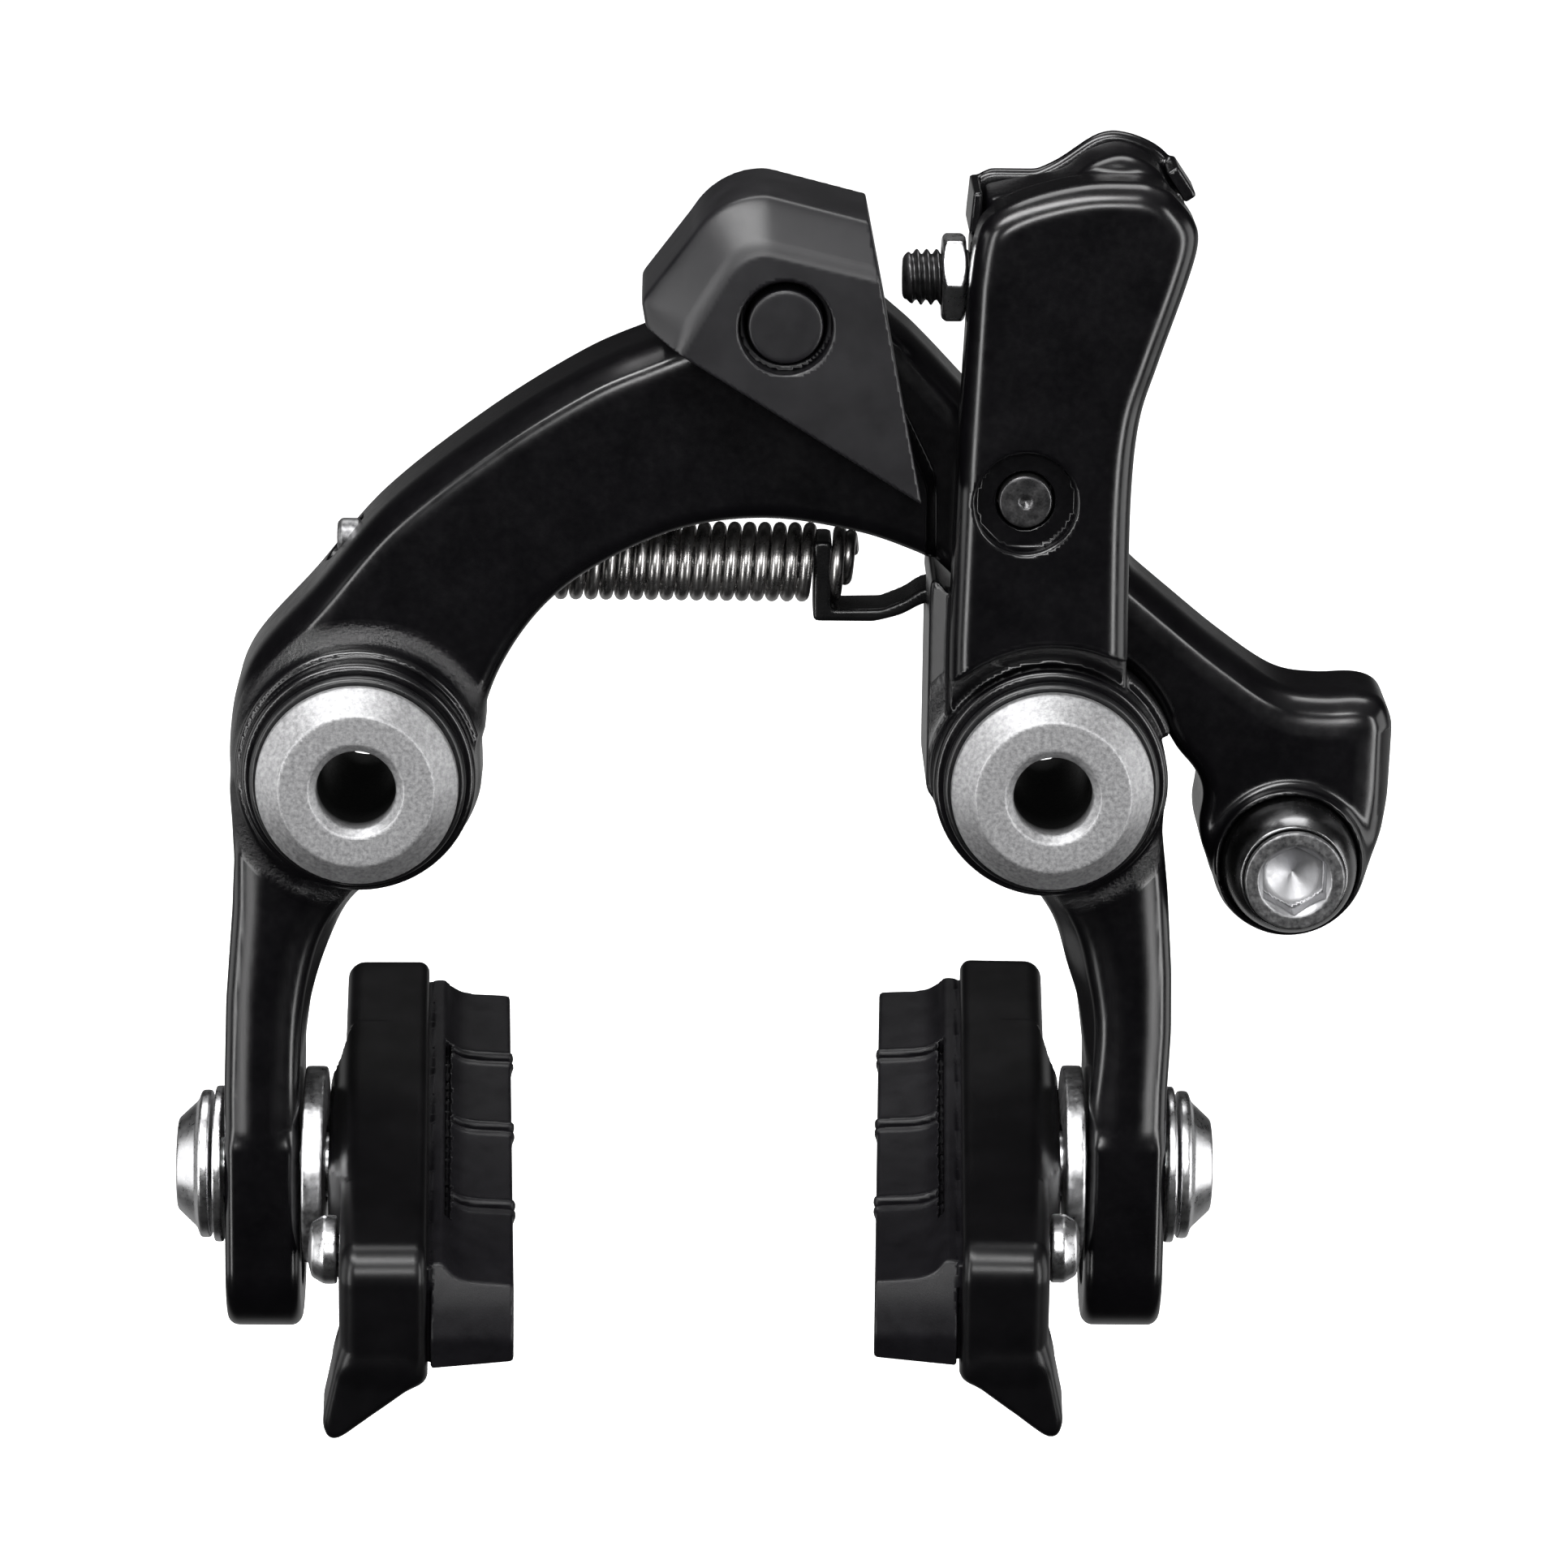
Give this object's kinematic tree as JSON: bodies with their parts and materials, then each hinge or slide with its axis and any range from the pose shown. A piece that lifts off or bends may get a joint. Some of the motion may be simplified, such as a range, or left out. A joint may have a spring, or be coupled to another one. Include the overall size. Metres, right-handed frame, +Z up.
{
  "type": "rim brake caliper",
  "caption": "Direct-mount dual-pivot rim brake caliper with two coupled arms, return spring and slotted, tilting brake shoes.",
  "frame": {"origin": "midway between the two mounting holes, on the plane where the bushes meet the bicycle frame", "axes": "+X from the left pivot to the right pivot as seen from the mounting side, +Y away from the bicycle frame along the mounting bolts, +Z up, away from the wheel's hub"},
  "size_m": [0.1, 0.0572, 0.1017],
  "materials": {
    "arm_gloss_black": "gloss black enamel on forged aluminium",
    "satin_black_alloy": "satin black anodised, machined",
    "bush_steel": "turned steel, worn where the frame bears on it",
    "bright_steel": "bright zinc-plated steel",
    "dark_steel": "dark burnished steel",
    "black_steel": "satin black coated steel strip",
    "spring_steel": "drawn spring wire",
    "pad_rubber": "moulded black brake rubber",
    "seal_rubber": "matt black rubber"
  },
  "bodies": {
    "mounting_bushes": {"left_pivot_bush": "bush_steel", "left_pivot_seal": "seal_rubber", "left_thrust_washer": "bright_steel", "left_bush_nut": "bright_steel", "right_pivot_bush": "bush_steel", "right_pivot_seal": "seal_rubber", "right_thrust_washer": "bright_steel", "right_bush_nut": "bright_steel", "return_spring": "spring_steel"},
    "left_arm": {"left_arm": "arm_gloss_black", "cam_block": "satin_black_alloy", "cam_block_pin": "dark_steel", "anchor_bolt": "bright_steel", "anchor_washer": "dark_steel", "clamp_plate": "bright_steel", "clamp_nut": "bright_steel"},
    "spring_screw": {"spring_screw": "bright_steel"},
    "right_arm": {"right_arm": "arm_gloss_black", "roller_pin": "dark_steel", "limit_nut": "bright_steel", "spring_bracket": "black_steel", "head_cover": "arm_gloss_black", "cover_screw": "dark_steel", "cable_stop": "satin_black_alloy"},
    "limit_screw": {"limit_screw": "dark_steel"},
    "cam_roller": {"cam_roller": "bright_steel"},
    "left_shoe_clamp": {"left_pad_bolt": "bright_steel", "left_outer_washer": "bright_steel", "left_inner_washer": "bright_steel"},
    "left_shoe": {"left_pad_holder": "arm_gloss_black", "left_brake_pad": "pad_rubber", "left_pad_screw": "bright_steel"},
    "right_shoe_clamp": {"right_pad_bolt": "bright_steel", "right_outer_washer": "bright_steel", "right_inner_washer": "bright_steel"},
    "right_shoe": {"right_pad_holder": "arm_gloss_black", "right_brake_pad": "pad_rubber", "right_pad_screw": "bright_steel"}
  },
  "joints": [
    {"name": "left_arm_pivot", "type": "hinge", "parent": "mounting_bushes", "child": "left_arm", "pos_m": [-0.028, 0, 0], "axis": [0, 1, 0], "range_deg": [-6, 0], "stiffness_Nm_per_rad": 1, "springref_deg": 17.19, "deforming": ["return_spring"]},
    {"name": "right_arm_pivot", "type": "hinge", "parent": "mounting_bushes", "child": "right_arm", "pos_m": [0.028, 0, 0], "axis": [0, 1, 0], "range_deg": [0, 6], "stiffness_Nm_per_rad": 1, "springref_deg": -17.19, "deforming": ["return_spring"]},
    {"name": "roller_spin", "type": "hinge", "parent": "right_arm", "child": "cam_roller", "pos_m": [0.0254, 0.0137, 0.0235], "axis": [0, 1, 0], "continuous": true},
    {"name": "limit_screw_travel", "type": "slide", "parent": "right_arm", "child": "limit_screw", "axis": [1, 0, 0], "range_m": [-0.0012, 0.0025]},
    {"name": "spring_screw_travel", "type": "slide", "parent": "left_arm", "child": "spring_screw", "axis": [-1, 0, 0], "range_m": [0, 0.0015]},
    {"name": "left_shoe_height", "type": "slide", "parent": "left_arm", "child": "left_shoe_clamp", "axis": [0, 0, 1], "range_m": [-0.007, 0.002]},
    {"name": "left_shoe_tilt", "type": "hinge", "parent": "left_shoe_clamp", "child": "left_shoe", "pos_m": [-0.02965, 0.013, -0.0357], "axis": [1, 0, 0], "range_deg": [-12, 6]},
    {"name": "right_shoe_height", "type": "slide", "parent": "right_arm", "child": "right_shoe_clamp", "axis": [0, 0, 1], "range_m": [-0.007, 0.002]},
    {"name": "right_shoe_tilt", "type": "hinge", "parent": "right_shoe_clamp", "child": "right_shoe", "pos_m": [0.02865, 0.013, -0.0351], "axis": [1, 0, 0], "range_deg": [-12, 6]}
  ],
  "couplings": [
    {"joint": "right_arm_pivot", "follows": "left_arm_pivot", "ratio": -1}
  ]
}
